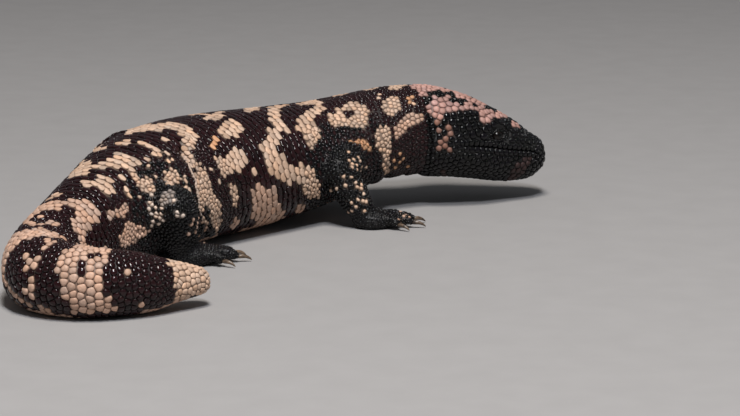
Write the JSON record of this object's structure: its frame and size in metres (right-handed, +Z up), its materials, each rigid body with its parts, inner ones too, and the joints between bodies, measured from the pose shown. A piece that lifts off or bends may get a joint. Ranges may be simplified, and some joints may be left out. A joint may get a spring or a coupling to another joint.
{
  "type": "gila monster",
  "caption": "Life-size model of a stout, beaded desert lizard, curved to one side, with splayed clawed feet and a thick tail bent back beside its body.",
  "frame": {"origin": "centre of the animal's bounding box in plan, on the ground it stands on", "axes": "+Z up; +X the way the snout points, within 16 degrees; -Y the animal's right side, which the open side of its curve faces"},
  "size_m": [0.2252, 0.2692, 0.0542],
  "materials": {
    "body_skin": "round beads in pink-buff with a black net of blotches and bands, low gloss",
    "dark_skin": "black and pink-buff beads, satin",
    "eye": "wet, near black",
    "claw": "smooth horn, grey-brown"
  },
  "bodies": {
    "root": {"head": "dark_skin", "neck": "body_skin", "trunk_front": "body_skin", "trunk_middle": "body_skin", "trunk_rear": "body_skin", "tail_root": "body_skin", "tail_bend_near": "body_skin", "tail_bend_far": "body_skin", "tail_back": "body_skin", "tail_tip": "body_skin", "upper_arm_right": "dark_skin", "forearm_right": "dark_skin", "forefoot_right": "dark_skin", "upper_arm_left": "dark_skin", "forearm_left": "dark_skin", "forefoot_left": "dark_skin", "thigh_right": "dark_skin", "shank_right": "dark_skin", "hindfoot_right": "dark_skin", "thigh_left": "dark_skin", "shank_left": "dark_skin", "hindfoot_left": "dark_skin", "eye_right": "eye", "eye_left": "eye", "claw_fore_right_1": "claw", "claw_fore_right_2": "claw", "claw_fore_right_3": "claw", "claw_fore_right_4": "claw", "claw_fore_right_5": "claw", "claw_fore_left_1": "claw", "claw_fore_left_2": "claw", "claw_fore_left_3": "claw", "claw_fore_left_4": "claw", "claw_fore_left_5": "claw", "claw_hind_right_1": "claw", "claw_hind_right_2": "claw", "claw_hind_right_3": "claw", "claw_hind_right_4": "claw", "claw_hind_right_5": "claw", "claw_hind_left_1": "claw", "claw_hind_left_2": "claw", "claw_hind_left_3": "claw", "claw_hind_left_4": "claw", "claw_hind_left_5": "claw"}
  },
  "joints": []
}
